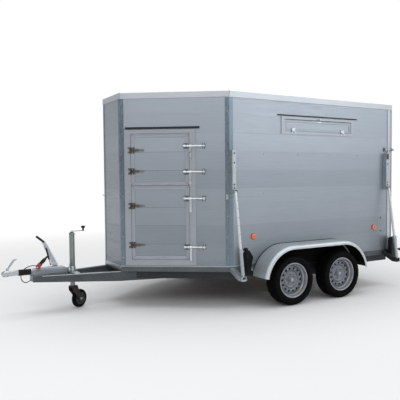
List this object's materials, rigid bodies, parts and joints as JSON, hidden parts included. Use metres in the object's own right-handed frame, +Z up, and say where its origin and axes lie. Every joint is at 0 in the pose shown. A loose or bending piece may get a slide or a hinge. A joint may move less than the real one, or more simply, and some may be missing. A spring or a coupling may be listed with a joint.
{
  "type": "livestock trailer",
  "caption": "Plank-sided livestock trailer on close-coupled axles, with a tapered nose, split side door, vent flaps, rear ramp, overrun drawbar and jockey wheel.",
  "frame": {"origin": "on the ground, half-way along the trailer from the coupling's tip to the ramp's hinges, in the middle of its width", "axes": "+X towards the rear, +Y towards the trailer's right side, +Z up"},
  "size_m": [4.739, 2.37, 2.349],
  "materials": {
    "planks": "mill-finish hollow aluminium planks, satin",
    "trim": "satin anodised",
    "galvanised": "hot-dip galvanised, spangled satin",
    "drawbar_steel": "hot-dip galvanised, weathered dark grey",
    "plywood": "phenolic film-faced anti-slip plywood",
    "black_rubber": "black rubber, matt",
    "black_plastic": "black moulded plastic",
    "zinc": "bright zinc plated",
    "lens": "amber and red lens plastic in a black housing",
    "plug_plastic": "dark red socket with a black plug",
    "tyre": "black tyre rubber",
    "rim_paint": "silver wheel lacquer",
    "jockey_steel": "dull galvanised tube",
    "cast_black": "black coated castings",
    "roof_sheet": "pale grey coated sheet"
  },
  "bodies": {
    "chassis": {"chassis_frame": "drawbar_steel", "drawbar_arms": "drawbar_steel", "floor_panel": "plywood", "side_walls": "planks", "nose_walls": "planks", "corner_posts": "galvanised", "sill_rails": "galvanised", "roof_panel": "roof_sheet", "roof_trim": "trim", "door_frame": "trim", "drip_strips": "black_rubber", "vent_frames": "trim", "prop_brackets": "galvanised", "prop_tubes": "galvanised", "mudguards": "galvanised", "wheel_chocks": "black_plastic", "lamps": "lens", "overrun_housing": "galvanised", "bellows": "black_rubber", "axle_tubes": "drawbar_steel", "jockey_outer": "jockey_steel", "wall_fittings": "zinc", "breakaway_cable": "black_rubber", "parked_plug": "plug_plastic"},
    "coupling": {"coupling_head": "zinc"},
    "coupling_release": {"coupling_handle": "galvanised"},
    "handbrake": {"handbrake_lever": "galvanised", "brake_strut": "cast_black"},
    "jockey_clamp": {"jockey_clamp_lever": "zinc"},
    "jockey_leg": {"jockey_inner": "cast_black"},
    "jockey_handle": {"jockey_crank": "jockey_steel"},
    "jockey_caster": {"jockey_fork": "cast_black"},
    "jockey_roller": {"jockey_wheel": "tyre"},
    "upper_leaf": {"door_upper": "planks"},
    "lower_leaf": {"door_lower": "planks"},
    "latch_1": {"door_latch_1": "zinc"},
    "latch_2": {"door_latch_2": "zinc"},
    "latch_3": {"door_latch_3": "zinc"},
    "latch_4": {"door_latch_4": "zinc"},
    "flap_left": {"vent_flap_left": "planks"},
    "flap_right": {"vent_flap_right": "planks"},
    "ramp": {"loading_ramp": "planks"},
    "ramp_bolt_left": {"ramp_latch_left": "zinc"},
    "ramp_bolt_right": {"ramp_latch_right": "zinc"},
    "arm_front_left": {"axle_arm_front_left": "cast_black"},
    "wheel_front_left": {"rim_front_left": "rim_paint", "tyre_front_left": "tyre"},
    "arm_front_right": {"axle_arm_front_right": "cast_black"},
    "wheel_front_right": {"rim_front_right": "rim_paint", "tyre_front_right": "tyre"},
    "arm_rear_left": {"axle_arm_rear_left": "cast_black"},
    "wheel_rear_left": {"rim_rear_left": "rim_paint", "tyre_rear_left": "tyre"},
    "arm_rear_right": {"axle_arm_rear_right": "cast_black"},
    "wheel_rear_right": {"rim_rear_right": "rim_paint", "tyre_rear_right": "tyre"},
    "rod_front_left": {"prop_rod_front_left": "zinc"},
    "rod_front_right": {"prop_rod_front_right": "zinc"},
    "rod_rear_left": {"prop_rod_rear_left": "zinc"},
    "rod_rear_right": {"prop_rod_rear_right": "zinc"}
  },
  "joints": [
    {"name": "overrun_slide", "type": "slide", "parent": "chassis", "child": "coupling", "axis": [1, 0, 0], "range_m": [0, 0.06], "deforming": ["bellows"]},
    {"name": "coupling_handle_lift", "type": "hinge", "parent": "coupling", "child": "coupling_release", "pos_m": [-2.308, 0, 0.495], "axis": [0, 1, 0], "range_deg": [0, 44]},
    {"name": "handbrake_pull", "type": "hinge", "parent": "chassis", "child": "handbrake", "pos_m": [-1.82, 0, 0.461], "axis": [0, 1, 0], "range_deg": [0, 40]},
    {"name": "jockey_clamp_turn", "type": "hinge", "parent": "chassis", "child": "jockey_clamp", "pos_m": [-1.679, -0.06, 0.447], "axis": [0, 1, 0], "range_deg": [-60, 0]},
    {"name": "jockey_wind", "type": "slide", "parent": "chassis", "child": "jockey_leg", "axis": [0, 0, 1], "range_m": [-0.05, 0.12]},
    {"name": "jockey_crank_turn", "type": "hinge", "parent": "chassis", "child": "jockey_handle", "pos_m": [-1.631, 0, 0.838], "axis": [0, 0, 1], "continuous": true},
    {"name": "jockey_swivel", "type": "hinge", "parent": "jockey_leg", "child": "jockey_caster", "pos_m": [-1.631, 0, 0.258], "axis": [0, 0, 1], "continuous": true},
    {"name": "jockey_roll", "type": "hinge", "parent": "jockey_caster", "child": "jockey_roller", "pos_m": [-1.54704, 0.04654, 0.1], "axis": [0.4848, -0.8746, 0], "continuous": true},
    {"name": "door_upper_swing", "type": "hinge", "parent": "chassis", "child": "upper_leaf", "pos_m": [-1.07044, -0.33491, 1.346], "axis": [0, 0, -1], "range_deg": [0, 135]},
    {"name": "door_lower_swing", "type": "hinge", "parent": "chassis", "child": "lower_leaf", "pos_m": [-1.07044, -0.33491, 0.54], "axis": [0, 0, -1], "range_deg": [0, 135]},
    {"name": "door_latch_1_turn", "type": "hinge", "parent": "upper_leaf", "child": "latch_1", "pos_m": [-0.54642, -0.70414, 1.768], "axis": [-0.8237, 0.567, 0], "range_deg": [0, 110]},
    {"name": "door_latch_2_turn", "type": "hinge", "parent": "upper_leaf", "child": "latch_2", "pos_m": [-0.54642, -0.70414, 1.491], "axis": [-0.8237, 0.567, 0], "range_deg": [0, 110]},
    {"name": "door_latch_3_turn", "type": "hinge", "parent": "lower_leaf", "child": "latch_3", "pos_m": [-0.54642, -0.70414, 1.203], "axis": [-0.8237, 0.567, 0], "range_deg": [0, 110]},
    {"name": "door_latch_4_turn", "type": "hinge", "parent": "lower_leaf", "child": "latch_4", "pos_m": [-0.54642, -0.70414, 0.676], "axis": [-0.8237, 0.567, 0], "range_deg": [0, 110]},
    {"name": "vent_flap_left_drop", "type": "hinge", "parent": "chassis", "child": "flap_left", "pos_m": [1.0905, -0.947, 1.947], "axis": [1, 0, 0], "range_deg": [0, 150]},
    {"name": "vent_flap_right_drop", "type": "hinge", "parent": "chassis", "child": "flap_right", "pos_m": [1.0905, 0.947, 1.947], "axis": [-1, 0, 0], "range_deg": [0, 150]},
    {"name": "ramp_lower", "type": "hinge", "parent": "chassis", "child": "ramp", "pos_m": [2.358, 0, 0.418], "axis": [0, 1, 0], "range_deg": [0, 104]},
    {"name": "ramp_latch_left_turn", "type": "hinge", "parent": "ramp", "child": "ramp_bolt_left", "pos_m": [2.332, -0.951, 1.768], "axis": [-1, 0, 0], "range_deg": [0, 110]},
    {"name": "ramp_latch_right_turn", "type": "hinge", "parent": "ramp", "child": "ramp_bolt_right", "pos_m": [2.332, 0.951, 1.768], "axis": [1, 0, 0], "range_deg": [0, 110]},
    {"name": "suspension_front_left", "type": "hinge", "parent": "chassis", "child": "arm_front_left", "pos_m": [0.376, -0.91, 0.287], "axis": [0, -1, 0], "range_deg": [-10, 16], "stiffness_Nm_per_rad": 12000, "springref_deg": -1.15},
    {"name": "wheel_front_left_roll", "type": "hinge", "parent": "arm_front_left", "child": "wheel_front_left", "pos_m": [0.526, -1.078, 0.278], "axis": [0, -1, 0], "continuous": true},
    {"name": "suspension_front_right", "type": "hinge", "parent": "chassis", "child": "arm_front_right", "pos_m": [0.376, 0.91, 0.287], "axis": [0, -1, 0], "range_deg": [-10, 16], "stiffness_Nm_per_rad": 12000, "springref_deg": -1.15},
    {"name": "wheel_front_right_roll", "type": "hinge", "parent": "arm_front_right", "child": "wheel_front_right", "pos_m": [0.526, 1.078, 0.278], "axis": [0, -1, 0], "continuous": true},
    {"name": "suspension_rear_left", "type": "hinge", "parent": "chassis", "child": "arm_rear_left", "pos_m": [1.098, -0.91, 0.287], "axis": [0, -1, 0], "range_deg": [-10, 16], "stiffness_Nm_per_rad": 12000, "springref_deg": -1.15},
    {"name": "wheel_rear_left_roll", "type": "hinge", "parent": "arm_rear_left", "child": "wheel_rear_left", "pos_m": [1.248, -1.078, 0.278], "axis": [0, -1, 0], "continuous": true},
    {"name": "suspension_rear_right", "type": "hinge", "parent": "chassis", "child": "arm_rear_right", "pos_m": [1.098, 0.91, 0.287], "axis": [0, -1, 0], "range_deg": [-10, 16], "stiffness_Nm_per_rad": 12000, "springref_deg": -1.15},
    {"name": "wheel_rear_right_roll", "type": "hinge", "parent": "arm_rear_right", "child": "wheel_rear_right", "pos_m": [1.248, 1.078, 0.278], "axis": [0, -1, 0], "continuous": true},
    {"name": "prop_front_left_slide", "type": "slide", "parent": "chassis", "child": "rod_front_left", "axis": [0, 0.1493, 0.9888], "range_m": [-0.19, 0]},
    {"name": "prop_front_right_slide", "type": "slide", "parent": "chassis", "child": "rod_front_right", "axis": [0, -0.1493, 0.9888], "range_m": [-0.19, 0]},
    {"name": "prop_rear_left_slide", "type": "slide", "parent": "chassis", "child": "rod_rear_left", "axis": [0, 0.1493, 0.9888], "range_m": [-0.19, 0]},
    {"name": "prop_rear_right_slide", "type": "slide", "parent": "chassis", "child": "rod_rear_right", "axis": [0, -0.1493, 0.9888], "range_m": [-0.19, 0]}
  ],
  "couplings": [
    {"joint": "jockey_crank_turn", "follows": "jockey_wind", "rad_per_m": -628.32}
  ]
}
